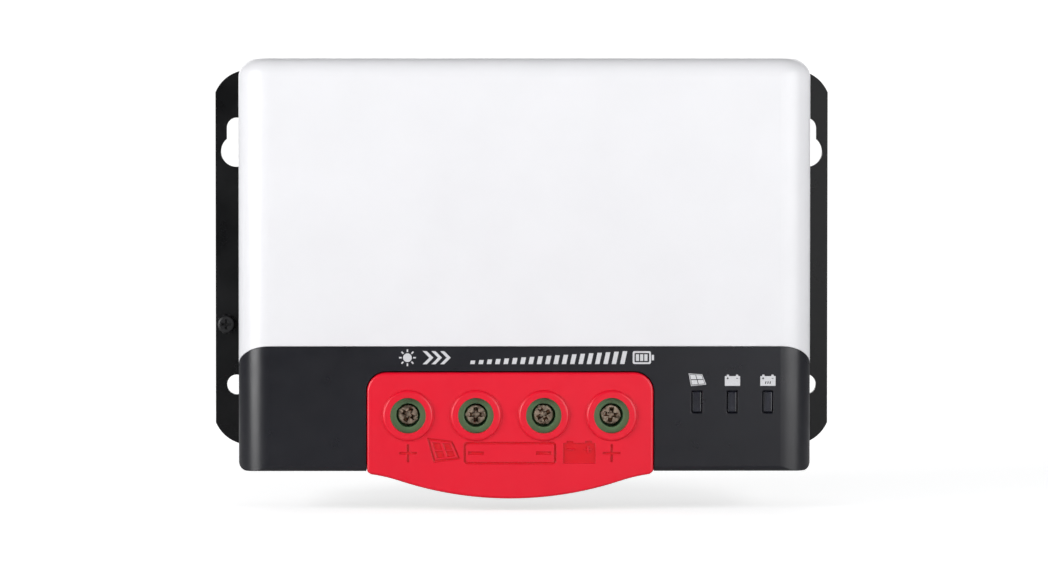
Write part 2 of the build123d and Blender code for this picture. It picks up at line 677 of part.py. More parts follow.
# ---------------------------------------------------------------- board and what is on it
def main_board():
    width, height = 2 * BOARD_HALF_W, BOARD_TOP - BOARD_BOTTOM
    outline = Pos(0, (BOARD_TOP + BOARD_BOTTOM) / 2) * Rectangle(width, height)
    for x, z in BOSS_POINTS:
        outline -= Pos(x, z) * Circle(BOSS_R + 0.9)
    for x, z in STANDOFF_POINTS:
        outline -= Pos(x, z) * Circle(M3_R + 0.2)
    for x in TRANSISTOR_X:  # screwdriver access to the transistors' screws
        outline -= Pos(x, TRANSISTOR_HOLE_Z) * Circle(3.3)
    return [raised(outline, BOARD_BACK, BOARD_FRONT)]


def board_standoffs():
    return [
        hexagon_post(x, z, 5.5, PLATE_FRONT, BOARD_BACK)
        - post(x, z, M3_R + THREAD_CLEARANCE, PLATE_FRONT - 1, BOARD_BACK + 1)
        for x, z in STANDOFF_POINTS
    ]


def board_screws():
    return [
        pan_screw(x, z, M3_R, 2.75, 2.0, BOARD_FRONT, BOARD_FRONT - 10)
        for x, z in STANDOFF_POINTS
    ]


def inductor_core():
    core = post(INDUCTOR_X, INDUCTOR_Z, CORE_OUTER_R, CORE_BACK, CORE_BACK + CORE_H)
    core -= post(INDUCTOR_X, INDUCTOR_Z, CORE_INNER_R, CORE_BACK - 1, CORE_BACK + CORE_H + 1)
    rims = core.edges().filter_by(GeomType.CIRCLE)
    return [fillet(rims, 1.2)]


def inductor_winding():
    """Enamelled turns round the core, each a closed rounded loop."""
    clear = WINDING_WIRE_R + 0.1
    span = CORE_OUTER_R - CORE_INNER_R + 2 * clear
    rise = CORE_H + 2 * clear
    loop = Plane.XY * Pos((CORE_OUTER_R + CORE_INNER_R) / 2, 0) * RectangleRounded(span, rise, 2.0)
    path = loop.wire()
    turn = sweep(Plane(origin=path @ 0, z_dir=path % 0) * Circle(WINDING_WIRE_R), path=path)
    place = Pos(INDUCTOR_X, -(CORE_BACK + CORE_H / 2), INDUCTOR_Z)
    return [place * Rot(0, 360 / WINDING_TURNS * i, 0) * turn for i in range(WINDING_TURNS)]


def capacitor_cans(points):
    """Aluminium cans with a rolled groove near the foot."""
    cans = []
    for x, z in points:
        can = post(x, z, CAN_R, BOARD_FRONT, BOARD_FRONT + CAN_H)
        can = fillet(front_edges(can, BOARD_FRONT + CAN_H), 0.8)
        groove = BOARD_FRONT + 3
        ring = post(x, z, CAN_R + 1, groove, groove + 1.2) - post(x, z, CAN_R - 0.7, groove, groove + 1.2)
        cross = Pos(x, z) * (Rectangle(9, 0.5) + Rectangle(0.5, 9))
        vent = raised(cross, BOARD_FRONT + CAN_H - 0.3, BOARD_FRONT + CAN_H + 1)
        cans.append(can - ring - vent)
    return cans


def power_transistors():
    """Flat power packages on the heatsink, with their legs bent up to the board."""
    devices = []
    tab_back = PLATE_FRONT + 0.4
    for x in TRANSISTOR_X:
        z = TRANSISTOR_Z
        tab = slab(x - 5.1, x + 5.1, z, z + 9.5, tab_back, tab_back + 1.3)
        tab -= post(x, TRANSISTOR_HOLE_Z, 1.85, tab_back - 1, tab_back + 2)
        body = slab(x - 5.1, x + 5.1, z - 6, z + 3.2, tab_back, tab_back + 4.4)
        body = chamfer(front_edges(body, tab_back + 4.4), 0.4)
        device = tab + body
        for i in (-1, 0, 1):
            leg_x = x + 2.54 * i
            device += slab(leg_x - 0.4, leg_x + 0.4, z - 9, z - 5.9, tab_back + 2.2, tab_back + 2.8)
            device += slab(leg_x - 0.4, leg_x + 0.4, z - 9, z - 8.4, tab_back + 2.2, BOARD_BACK)
        devices.append(device)
    return devices


def transistor_screws():
    return [
        pan_screw(x, TRANSISTOR_HOLE_Z, M3_R, 2.75, 2.0, PLATE_FRONT + 1.7, PLATE_FRONT - 3)
        for x in TRANSISTOR_X
    ]


def thermal_pad():
    """One insulating sheet under all of the transistors."""
    sheet = Pos(0, TRANSISTOR_Z + 1.8) * RectangleRounded(146, 18.5, 1)
    for x in TRANSISTOR_X:
        sheet -= Pos(x, TRANSISTOR_HOLE_Z) * Circle(1.8)
    sheet -= Pos(0, 56) * Circle(3.4)
    return [raised(sheet, PLATE_FRONT, PLATE_FRONT + 0.4)]


def current_shunts():
    """Bridge-shaped resistance strips in the current path."""
    shunts = []
    z, low = SHUNT_Z, BOARD_FRONT
    for x in (-SHUNT_X, SHUNT_X):
        outer = slab(x - 9, x + 9, z - 2.2, z + 2.2, low, low + 6)
        outer = fillet([e for e in outer.edges().filter_by(Axis.Z) if e.center().Y < -low - 5], 2.0)
        shunts.append(outer - slab(x - 8, x + 8, z - 3, z + 3, low - 1, low + 5))
    return shunts


def control_chip():
    x, z, low = CHIP_X, CHIP_Z, BOARD_FRONT
    chip = slab(x - 3.5, x + 3.5, z - 3.5, z + 3.5, low + 0.15, low + 1.5)
    for i in range(8):
        step = CHIP_PITCH * (i - 3.5)
        chip += slab(x + step - 0.15, x + step + 0.15, z - 4.5, z + 4.5, low, low + 0.35)
        chip += slab(x - 4.5, x + 4.5, z + step - 0.15, z + step + 0.15, low, low + 0.35)
    return [chip]


# ---------------------------------------------------------------- write the sub-parts
def sub_parts():
    parts = {
        "upper_cover": [upper_cover()],
        "lower_cover": [lower_cover()],
        "terminal_cover": [terminal_cover()],
        "heatsink": [heatsink()],
        "cover_screws": cover_screws(),
        "earth_screw": earth_screw(),
        "earth_washer": earth_washer(),
        "status_leds": status_leds(),
        "data_port": data_port(),
        "data_port_contacts": data_port_contacts(),
        "sensor_socket": sensor_socket(),
        "sensor_pins": sensor_pins(),
        "tact_switch": tact_switch(),
        "set_button": set_button(),
        "main_board": main_board(),
        "board_standoffs": board_standoffs(),
        "board_screws": board_screws(),
        "inductor_core": inductor_core(),
        "inductor_winding": inductor_winding(),
        "input_capacitors": capacitor_cans(INPUT_CAPACITOR_POINTS),
        "output_capacitors": capacitor_cans(OUTPUT_CAPACITOR_POINTS),
        "power_transistors": power_transistors(),
        "transistor_screws": transistor_screws(),
        "thermal_pad": thermal_pad(),
        "current_shunts": current_shunts(),
        "control_chip": control_chip(),
    }
    for i, x in enumerate(TERMINAL_X, start=1):
        parts[f"terminal_block_{i}"] = terminal_block(x)
        parts[f"terminal_screw_{i}"] = terminal_screw(x)
        parts[f"wire_cage_{i}"] = wire_cage(x)
        parts[f"contact_bar_{i}"] = contact_bar(x)
    for name, x in INDICATOR_X.items():
        parts[f"light_pipe_{name}"] = light_pipe(x)
    return parts


def main():
    os.makedirs("parts", exist_ok=True)
    for name, shapes in sub_parts().items():
        solids = [solid for shape in shapes for solid in shape.solids()]
        shape = solids[0] if len(solids) == 1 else Compound(children=solids)
        export_step(shape, f"parts/{name}.step")


main()
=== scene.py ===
"""Looks of the charge controller: finishes, printed marks and small parts round its CAD frame, and a studio.

Metres, in the frame's own axes: +X right, +Z up, and the front faces -Y.
"""

import json
from math import cos, pi, radians, sin

import bmesh
import bpy
from mathutils import Matrix, Vector


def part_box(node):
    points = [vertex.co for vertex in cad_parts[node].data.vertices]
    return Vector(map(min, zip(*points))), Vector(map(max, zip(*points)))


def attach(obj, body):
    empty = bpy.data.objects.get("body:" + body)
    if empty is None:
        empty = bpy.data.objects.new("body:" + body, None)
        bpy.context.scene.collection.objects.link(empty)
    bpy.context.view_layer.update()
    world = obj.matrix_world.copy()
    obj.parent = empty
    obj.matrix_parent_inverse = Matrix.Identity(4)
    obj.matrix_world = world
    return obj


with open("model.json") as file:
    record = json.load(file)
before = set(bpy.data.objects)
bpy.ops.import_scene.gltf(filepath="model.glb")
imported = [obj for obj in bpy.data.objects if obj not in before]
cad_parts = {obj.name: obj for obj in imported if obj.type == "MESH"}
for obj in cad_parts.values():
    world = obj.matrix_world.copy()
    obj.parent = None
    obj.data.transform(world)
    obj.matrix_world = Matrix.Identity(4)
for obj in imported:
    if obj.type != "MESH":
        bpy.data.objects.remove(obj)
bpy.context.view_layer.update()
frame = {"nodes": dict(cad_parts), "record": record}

MM = 0.001
HOUSING = "housing"
nodes = frame["nodes"]

PACKAGE_LEG = 2.9  # length of the power packages' bare legs, in millimetres
PACKAGE_TAB = 6.3  # length of their bare tabs
FLOOR_GLOW = 0.58  # the floor's own white, over what the lights add
FRONT = -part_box("lower_cover")[0].y  # height of the black cover's front face above the wall
RED_RINGS = -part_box("terminal_cover")[0].y  # height of the tops of the red cover's rings
RED_MIDDLE = sum(corner.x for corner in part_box("terminal_cover")) / 2 / MM
SUNK_MARK_DEPTH = 1.5 * MM  # from the red cover's rings down to the floors of its polarity marks
CAN_RIM = 0.32 * MM  # how far the sleeve stands over the capacitors' bare tops
CELL_TOP, CELL_BOTTOM = -37.3, -40.55  # heights of the printed batteries, in millimetres
BAND_Z = -31.1  # height of the middle of the row of pictograms, in millimetres


# ---------------------------------------------------------------- finishes
class Finish:
    """A Principled material with colour, roughness and relief varied by noise in the object's own space."""

    def __init__(self, name, color, roughness, metallic=0.0, coat=0.0, coat_roughness=0.1, ior=1.5):
        self.material = bpy.data.materials.new(name)
        self.material.use_nodes = True
        self.tree = self.material.node_tree
        self.shader = self.tree.nodes["Principled BSDF"]
        self.color = color
        self.roughness = roughness
        self.normal = None
        sockets = self.shader.inputs
        sockets["Base Color"].default_value = (*color, 1)
        sockets["Roughness"].default_value = roughness
        sockets["Metallic"].default_value = metallic
        sockets["Coat Weight"].default_value = coat
        sockets["Coat Roughness"].default_value = coat_roughness
        sockets["IOR"].default_value = ior
        self.space = self.tree.nodes.new("ShaderNodeTexCoord").outputs["Object"]

    def node(self, kind, inputs=None, **settings):
        made = self.tree.nodes.new("ShaderNode" + kind)
        for name, value in settings.items():
            setattr(made, name, value)
        for key, value in (inputs or {}).items():
            if isinstance(value, bpy.types.NodeSocket):
                self.tree.links.new(value, made.inputs[key])
            else:
                made.inputs[key].default_value = value
        return made

    def noise(self, size, stretch=(1, 1, 1), detail=3.0, offset=(0, 0, 0)):
        """Noise whose features are about size across, longer along an axis where stretch is more than 1."""
        scale = [1 / (size * s) for s in stretch]
        place = self.node("Mapping", {"Vector": self.space, "Scale": scale, "Location": offset})
        texture = self.node("TexNoise", {"Vector": place.outputs[0], "Scale": 1.0, "Detail": detail})
        return texture.outputs["Fac"]

    def ramp(self, factor, *stops):
        """Colours at positions along a factor."""
        made = self.node("ValToRGB", {"Fac": factor})
        elements = made.color_ramp.elements
        while len(elements) < len(stops):
            elements.new(0.5)
        for element, (position, color) in zip(elements, stops):
            element.position = position
            element.color = (*color, 1)
        return made.outputs["Color"]

    def spread(self, factor, low, high, near=0.3, far=0.7):
        """A factor between near and far, mapped to low and high."""
        inputs = {"Value": factor, "From Min": near, "From Max": far, "To Min": low, "To Max": high}
        return self.node("MapRange", inputs).outputs["Result"]

    def tint(self, factor, amount):
        """Lets the base colour drift darker and lighter by amount."""
        dark = [c * (1 - amount) for c in self.color]
        light = [min(1.0, c * (1 + amount)) for c in self.color]
        self.paint(self.ramp(factor, (0.3, dark), (0.7, light)))
        return self

    def paint(self, color):
        self.tree.links.new(color, self.shader.inputs["Base Color"])
        return self

    def polish(self, factor, amount):
        """Lets the roughness drift by amount."""
        value = self.spread(factor, self.roughness - amount, self.roughness + amount)
        self.tree.links.new(value, self.shader.inputs["Roughness"])
        return self

    def relief(self, factor, depth, strength=1.0):
        """Adds relief of a depth in metres."""
        inputs = {"Height": factor, "Distance": depth, "Strength": strength}
        if self.normal is not None:
            inputs["Normal"] = self.normal
        self.normal = self.node("Bump", inputs).outputs["Normal"]
        self.tree.links.new(self.normal, self.shader.inputs["Normal"])
        return self

    def soft_edges(self, radius):
        """Rounds the shading over sharp edges by a small radius."""
        self.normal = self.node("Bevel", {"Radius": radius}, samples=4).outputs["Normal"]
        self.tree.links.new(self.normal, self.shader.inputs["Normal"])
        return self


def moulded_plastic(name, color, roughness, grain=0.3 * MM, depth=0.004 * MM, drift=0.02, **more):
    """Moulded plastic: a fine spark-eroded grain, faint flow marks and a slightly uneven sheen."""
    finish = Finish(name, color, roughness, **more)
    finish.soft_edges(0.25 * MM)
    finish.tint(finish.noise(18 * MM, detail=4), drift)
    finish.polish(finish.noise(6 * MM, detail=5, offset=(3, 1, 2)), 0.04)
    finish.relief(finish.noise(45 * MM, detail=1), 0.012 * MM, 0.3)
    finish.relief(finish.noise(grain, detail=2), depth)
    return finish.material


def red_plastic():
    """Grained red plastic. The floors of its sunken marks are left polished and painted a darker, deeper red
    as painted shade.
    """
    finish = Finish("red_cover", (0.73, 0.0012, 0.0205), 0.36)
    finish.soft_edges(0.25 * MM)
    place = finish.node("SeparateXYZ", {"Vector": finish.space}).outputs["Y"]
    floor_y = -(RED_RINGS - SUNK_MARK_DEPTH)
    sunk = finish.node("Math", {0: place, 1: floor_y, 2: 0.08 * MM}, operation="COMPARE").outputs[0]
    flow = finish.noise(18 * MM, detail=4)
    face = finish.ramp(flow, (0.3, (0.715, 0.001, 0.02)), (0.7, (0.745, 0.0014, 0.021)))
    # painted shade: the sunken mark floors get a darker, more saturated red than the face
    face_with_painted_shade = finish.node("MixRGB", {"Fac": sunk, "Color1": face, "Color2": (0.66, 0.0004, 0.0095, 1)})
    finish.paint(face_with_painted_shade.outputs[0])
    sheen = finish.spread(finish.noise(6 * MM, detail=5, offset=(3, 1, 2)), 0.32, 0.4)
    gloss = finish.node("MapRange", {"Value": sunk, "To Min": sheen, "To Max": 0.12})
    finish.tree.links.new(gloss.outputs["Result"], finish.shader.inputs["Roughness"])
    finish.relief(finish.noise(45 * MM, detail=1), 0.02 * MM, 0.5)
    finish.relief(finish.noise(0.3 * MM, detail=2), 0.004 * MM)
    return finish.material


def anodised_extrusion():
    """Black anodising over die lines along the extrusion, a little paler where it was handled."""
    finish = Finish("black_anodised", (0.003, 0.0033, 0.004), 0.32, ior=1.4)
    finish.soft_edges(0.3 * MM)
    lines = finish.noise(0.35 * MM, stretch=(1, 1, 200), detail=3)
    handled = finish.noise(14 * MM, detail=6, offset=(5, 2, 1))
    worn, fresh = (0.004, 0.0043, 0.005), (0.002, 0.0022, 0.0028)
    finish.paint(finish.ramp(handled, (0.35, fresh), (0.7, worn)))
    finish.polish(handled, 0.07)
    finish.relief(lines, 0.012 * MM, 0.6)
    finish.relief(finish.noise(0.12 * MM, detail=2), 0.003 * MM)
    return finish.material


def plated_metal(name, color, roughness, stain, scratch=0.08 * MM, metallic=1.0):
    """Plated metal with tool marks and darker stains where the plating has dulled."""
    finish = Finish(name, color, roughness, metallic=metallic)
    finish.soft_edges(0.12 * MM)
    patches = finish.noise(1.6 * MM, detail=6)
    finish.paint(finish.ramp(patches, (0.36, stain), (0.6, color)))
    finish.polish(finish.noise(0.7 * MM, detail=5, offset=(1, 4, 2)), 0.12)
    finish.relief(finish.noise(scratch, stretch=(9, 1, 1), detail=3), 0.006 * MM, 0.7)
    return finish.material


def smoked_lens():
    """Smoked polycarbonate: nearly black with a blue cast, polished, with faint flow lines."""
    finish = Finish("smoked_lens", (0.010, 0.0105, 0.0175), 0.16, coat=0.4, coat_roughness=0.08)
    finish.soft_edges(0.15 * MM)
    finish.tint(finish.noise(1.5 * MM, stretch=(1, 1, 4)), 0.35)
    finish.polish(finish.noise(0.8 * MM, detail=4), 0.05)
    finish.relief(finish.noise(0.5 * MM, stretch=(1, 1, 5), detail=2), 0.004 * MM, 0.5)
    return finish.material


def solder_mask():
    """Green solder mask over copper tracks that show as slightly paler, raised lines."""
    finish = Finish("solder_mask", (0.012, 0.11, 0.04), 0.3, coat=0.5)
    tracks = finish.node(
        "TexBrick",
        {"Vector": finish.space, "Scale": 90.0, "Mortar Size": 0.035, "Mortar Smooth": 0.2},
        offset=0.37,
        squash=1.6,
        squash_frequency=3,
    )
    weave = finish.noise(0.6 * MM, detail=2)
    under = finish.ramp(weave, (0.35, (0.010, 0.095, 0.035)), (0.65, (0.016, 0.13, 0.05)))
    over_copper = (0.03, 0.2, 0.07, 1)
    layers = {"Fac": tracks.outputs["Fac"], "Color1": under, "Color2": over_copper}
    finish.paint(finish.node("MixRGB", layers).outputs[0])
    finish.polish(finish.noise(4 * MM), 0.05)
    finish.relief(tracks.outputs["Fac"], 0.03 * MM, 0.6)
    return finish.material


def sleeve():
    """Shiny dark blue heat-shrunk sleeving, with the can's bare aluminium top inside its rim."""
    finish = Finish("can_sleeve", (0.02, 0.028, 0.07), 0.25, coat=0.3)
    depth = finish.node("SeparateXYZ", {"Vector": finish.space}).outputs["Y"]
    top_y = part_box("input_capacitors")[0].y + CAN_RIM
    top = finish.node("Math", {0: depth, 1: top_y}, operation="LESS_THAN").outputs[0]
    drift = finish.noise(3 * MM, stretch=(1, 1, 3))
    blue = finish.ramp(drift, (0.3, (0.016, 0.022, 0.056)), (0.7, (0.024, 0.034, 0.084)))
    mixed = finish.node("MixRGB", {"Fac": top, "Color1": blue, "Color2": (0.7, 0.7, 0.71, 1)})
    finish.paint(mixed.outputs[0])
    finish.tree.links.new(top, finish.shader.inputs["Metallic"])
    finish.polish(finish.noise(2 * MM), 0.06)
    finish.relief(finish.noise(1.2 * MM, stretch=(1, 5, 1)), 0.02 * MM, 0.5)
    return finish.material


def powder_coated_core():
    """Yellow-green epoxy powder on a pressed iron core, with an orange-peel surface."""
    finish = Finish("core_coating", (0.38, 0.33, 0.05), 0.45)
    finish.tint(finish.noise(2 * MM), 0.12)
    finish.polish(finish.noise(1 * MM), 0.06)
    finish.relief(finish.noise(0.5 * MM, detail=1), 0.05 * MM, 0.6)
    return finish.material


def enamelled_copper():
    finish = Finish("enamelled_copper", (0.55, 0.16, 0.045), 0.22, metallic=0.8, coat=0.7)
    finish.tint(finish.noise(2.5 * MM, detail=4), 0.18)
    finish.polish(finish.noise(1 * MM), 0.05)
    finish.relief(finish.noise(0.3 * MM), 0.006 * MM, 0.5)
    return finish.material


def power_package():
    """Black epoxy bodies on the metal of their tabs and legs."""
    finish = Finish("power_package", (0.018, 0.018, 0.018), 0.5)
    finish.soft_edges(0.15 * MM)
    low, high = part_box("power_transistors")
    height = finish.node("SeparateXYZ", {"Vector": finish.space}).outputs["Z"]
    body = [low.z + PACKAGE_LEG * MM, high.z - PACKAGE_TAB * MM]
    above = finish.node("Math", {0: height, 1: body[1]}, operation="GREATER_THAN").outputs[0]
    below = finish.node("Math", {0: height, 1: body[0]}, operation="LESS_THAN").outputs[0]
    bare = finish.node("Math", {0: above, 1: below}, operation="MAXIMUM").outputs[0]
    grain = finish.noise(0.8 * MM, detail=4)
    epoxy = finish.ramp(grain, (0.3, (0.015, 0.015, 0.015)), (0.7, (0.022, 0.022, 0.022)))
    mixed = finish.node("MixRGB", {"Fac": bare, "Color1": epoxy, "Color2": (0.62, 0.62, 0.6, 1)})
    finish.paint(mixed.outputs[0])
    finish.tree.links.new(bare, finish.shader.inputs["Metallic"])
    finish.polish(finish.noise(2 * MM), 0.08)
    finish.relief(finish.noise(0.15 * MM), 0.006 * MM)
    return finish.material


def ink():
    """Pad-printed pale grey ink: thin, slightly mottled, matt."""
    finish = Finish("pale_ink", (0.58, 0.585, 0.605), 0.55)
    finish.tint(finish.noise(0.25 * MM, detail=4), 0.12)
    finish.polish(finish.noise(0.5 * MM), 0.06)
    finish.relief(finish.noise(0.1 * MM), 0.003 * MM, 0.6)
    return finish.material


FINISHES = {
    "white_shell": moulded_plastic("white_shell", (0.757, 0.757, 0.779), 0.34, drift=0.012),
    "black_shell": moulded_plastic("black_shell", (0.0047, 0.005, 0.0088), 0.31, drift=0.12),
    "red_cover": red_plastic(),
    "black_anodised": anodised_extrusion(),
    "zinc_screw": plated_metal("zinc_screw", (0.62, 0.63, 0.66), 0.32, (0.42, 0.42, 0.42)),
    "black_screw": moulded_plastic("black_screw", (0.01, 0.01, 0.011), 0.4, drift=0.2),
    "terminal_screw": plated_metal("terminal_screw", (0.56, 0.44, 0.34), 0.34, (0.19, 0.14, 0.105)),
    "cage_brass": plated_metal("cage_brass", (0.72, 0.62, 0.36), 0.3, (0.42, 0.33, 0.16)),
    "terminal_green": moulded_plastic("terminal_green", (0.1, 0.225, 0.1), 0.45, drift=0.1),
    "tin_contact": plated_metal("tin_contact", (0.68, 0.67, 0.65), 0.34, (0.46, 0.45, 0.43)),
    "gold_contact": plated_metal("gold_contact", (0.86, 0.62, 0.22), 0.24, (0.7, 0.46, 0.15)),
    "smoked_lens": smoked_lens(),
    "led_lens": moulded_plastic("led_lens", (0.8, 0.77, 0.6), 0.3),
    "port_plastic": moulded_plastic("port_plastic", (0.02, 0.02, 0.022), 0.35, drift=0.1),
    "socket_plastic": moulded_plastic("socket_plastic", (0.7, 0.67, 0.58), 0.45),
    "switch_plastic": moulded_plastic("switch_plastic", (0.025, 0.025, 0.025), 0.5),
    "button_plastic": moulded_plastic("button_plastic", (0.11, 0.11, 0.115), 0.45, drift=0.06),
    "circuit_board": solder_mask(),
    "nickel_brass": plated_metal("nickel_brass", (0.64, 0.6, 0.5), 0.3, (0.48, 0.42, 0.3)),
    "toroid_core": powder_coated_core(),
    "enamelled_wire": enamelled_copper(),
    "capacitor_can": sleeve(),
    "package_epoxy": moulded_plastic("package_epoxy", (0.018, 0.018, 0.018), 0.55, drift=0.15),
    "thermal_sheet": moulded_plastic("thermal_sheet", (0.33, 0.35, 0.37), 0.7),
    "shunt_alloy": plated_metal("shunt_alloy", (0.56, 0.44, 0.33), 0.35, (0.36, 0.27, 0.2)),
}
NODE_FINISHES = {"power_transistors": power_package()}
CERAMIC = moulded_plastic("chip_capacitor", (0.36, 0.25, 0.15), 0.45, drift=0.15)
INK = ink()


def dress_nodes():
    """Gives every carried-over node the finish of its material slot."""
    for row in frame["record"]["subparts"]:
        node = nodes[row["node"]]
        finish = NODE_FINISHES.get(row["node"], FINISHES[row["material_slot"]])
        for place in node.material_slots:
            place.material = finish
        if not node.material_slots:
            node.data.materials.append(finish)


# ---------------------------------------------------------------- outlines, in millimetres of X and Z
def box_loop(x0, x1, z0, z1):
    return [(x0, z0), (x1, z0), (x1, z1), (x0, z1)]


def circle_loop(x, z, radius, steps=48):
    turns = [2 * pi * i / steps for i in range(steps)]
    return [(x + radius * cos(turn), z + radius * sin(turn)) for turn in turns]


def rounded_loop(x0, x1, z0, z1, radius, steps=6):
    points = []
    corners = ((x1, z1, 0), (x0, z1, 90), (x0, z0, 180), (x1, z0, 270))
    for x, z, start in corners:
        cx = x - radius if x == x1 else x + radius
        cz = z - radius if z == z1 else z + radius
        for i in range(steps + 1):
            angle = radians(start + 90 * i / steps)
            points.append((cx + radius * cos(angle), cz + radius * sin(angle)))
    return points


def slanted_loop(x0, x1, z0, z1, slant):
    """A parallelogram that leans to the right by slant over its height."""
    return [(x0, z0), (x1, z0), (x1 + slant, z1), (x0 + slant, z1)]


def plus_loop(x, z, arm, half_line):
    """A plus sign with arms of the given reach and half width."""
    quarter = [(half_line, arm), (half_line, half_line), (arm, half_line)]
    points = []
    for _ in range(4):
        points += quarter
        quarter = [(b, -a) for a, b in quarter]
    return [(x + a, z + b) for a, b in points]


def arrow_loop(x, z, half_h, line):
    """A chevron that points to the right, with a line of the given width."""
    tip = x + line + half_h
    back = [(x, z + half_h), (x + half_h, z), (x, z - half_h)]
    return [(x + line, z - half_h), (tip, z), (x + line, z + half_h), *back]


def printed_piece(name, loops, height=FRONT, thickness=0.02 * MM, material=INK):
    """A thin layer on a face that looks to the front. Loops inside others are holes."""
    curve = bpy.data.curves.new(name, "CURVE")
    curve.dimensions = "2D"
    curve.fill_mode = "BOTH"
    curve.extrude = thickness / 2
    for loop in loops:
        spline = curve.splines.new("POLY")
        spline.points.add(len(loop) - 1)
        for point, (x, z) in zip(spline.points, loop):
            point.co = (x * MM, z * MM, 0, 1)
        spline.use_cyclic_u = True
    source = bpy.data.objects.new(name + "_curve", curve)
    mesh = bpy.data.meshes.new_from_object(source)
    bpy.data.objects.remove(source)
    mesh.name = name
    mesh.transform(Matrix.Translation((0, -height - thickness / 2, 0)) @ Matrix.Rotation(pi / 2, 4, "X"))
    mesh.materials.clear()
    mesh.materials.append(material)
    piece = bpy.data.objects.new(name, mesh)
    bpy.context.scene.collection.objects.link(piece)
    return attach(piece, HOUSING)


# ---------------------------------------------------------------- printed marks
def panel_loops(middle):
    """A solar panel seen at a slant: four panes inside a frame line."""
    top_left, top_right = (middle - 2.8, -36.4), (middle + 1.7, -36.7)
    low_left, low_right = (middle - 2.0, -40.6), (middle + 3.1, -40.1)

    def at(u, v):
        top = [a + (b - a) * u for a, b in zip(top_left, top_right)]
        low = [a + (b - a) * u for a, b in zip(low_left, low_right)]
        return tuple(a + (b - a) * v for a, b in zip(low, top))

    def patch(u0, u1, v0, v1):
        return [at(u0, v0), at(u1, v0), at(u1, v1), at(u0, v1)]

    loops = [patch(0, 1, 0, 1), patch(0.045, 0.955, 0.055, 0.945)]
    for u0, u1 in ((0.08, 0.475), (0.525, 0.92)):
        for v0, v1 in ((0.1, 0.465), (0.535, 0.9)):
            loops.append(patch(u0, u1, v0, v1))
    return loops


def battery_loops(middle, bars=0):
    """A car battery with two posts, cut-out polarity marks and, if asked, a row of level bars."""
    half_w, post_top, post_taper = 2.55, CELL_TOP + 0.5, 0.1
    corner_left, corner_right = (middle - half_w, CELL_TOP), (middle + half_w, CELL_TOP)
    outline = [(middle - half_w, CELL_BOTTOM), (middle + half_w, CELL_BOTTOM), corner_right]
    for near, far in ((1.1, 1.95), (-1.95, -1.1)):
        left, right = middle + near, middle + far
        outline += [(right, CELL_TOP), (right - post_taper, post_top)]
        outline += [(left + post_taper, post_top), (left, CELL_TOP)]
    outline.append(corner_left)
    mark_z = CELL_TOP - 0.75
    minus = box_loop(middle + 1.25, middle + 1.85, mark_z - 0.1, mark_z + 0.1)
    loops = [outline, minus, plus_loop(middle - 1.6, mark_z, 0.36, 0.13)]
    for i in range(bars):
        x = middle - 1.0 + i * 0.75
        loops.append(slanted_loop(x, x + 0.34, CELL_BOTTOM + 0.65, CELL_BOTTOM + 1.5, 0.2))
    return loops


def sun_loops(x, z, radius, rays=8):
    loops = [circle_loop(x, z, radius * 0.52)]
    for i in range(rays):
        turn = 2 * pi * i / rays
        along, across = Vector((cos(turn), sin(turn))), Vector((-sin(turn), cos(turn)))
        centre = Vector((x, z))
        near, far, half = radius * 0.68, radius, radius * 0.09
        corners = [(near, -half), (far, -half), (far, half), (near, half)]
        loops.append([tuple(centre + along * a + across * b) for a, b in corners])
    return loops


def energy_band_loops(centre):
    """A plain row of pictograms: a sun, arrows, a rising scale of slanted bars, and a battery."""
    sun_x, arrows_x, bars_x, cell_x = centre - 34.3, centre - 29.2, centre - 13.4, centre + 40.9
    low, high = BAND_Z - 2.15, BAND_Z + 2.15
    loops = sun_loops(sun_x, BAND_Z, 2.8)
    arrow_pitch = 2.9
    for i in range(3):
        loops.append(arrow_loop(arrows_x + i * arrow_pitch, BAND_Z, 2.2, 1.35))
    bars, bar_pitch, shortest, growth = 19, 2.78, 1.2, 3.1
    for i in range(bars):
        x = bars_x + i * bar_pitch
        tall = shortest + growth * i / (bars - 1)
        loops.append(slanted_loop(x, x + 1.5, low, low + tall, tall * 0.22))
    cell_end, wall, gap = cell_x + 6.1, 0.6, 1.05
    loops.append(rounded_loop(cell_x, cell_end, low, high, wall))
    loops.append(rounded_loop(cell_x + wall, cell_end - wall, low + wall, high - wall, wall / 2))
    loops.append(box_loop(cell_end + 0.25, cell_end + 1.0, BAND_Z - 0.9, BAND_Z + 0.9))
    level_pitch = 1.42
    for i in range(3):
        x = cell_x + gap + i * level_pitch
        loops.append(box_loop(x, x + 1.05, low + gap, high - gap))
    return loops


def printed_marks():
    """A mark under each indicator window, and the row of pictograms over the red cover."""
    pipes = {name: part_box(f"light_pipe_{name}") for name in ("solar", "battery", "type")}
    middles = {name: (low.x + high.x) / 2 / MM for name, (low, high) in pipes.items()}
    printed_piece("print_solar_panel", panel_loops(middles["solar"]))
    printed_piece("print_battery", battery_loops(middles["battery"] + 0.05))
    printed_piece("print_battery_level", battery_loops(middles["type"], bars=3))
    printed_piece("print_energy_band", energy_band_loops(RED_MIDDLE))


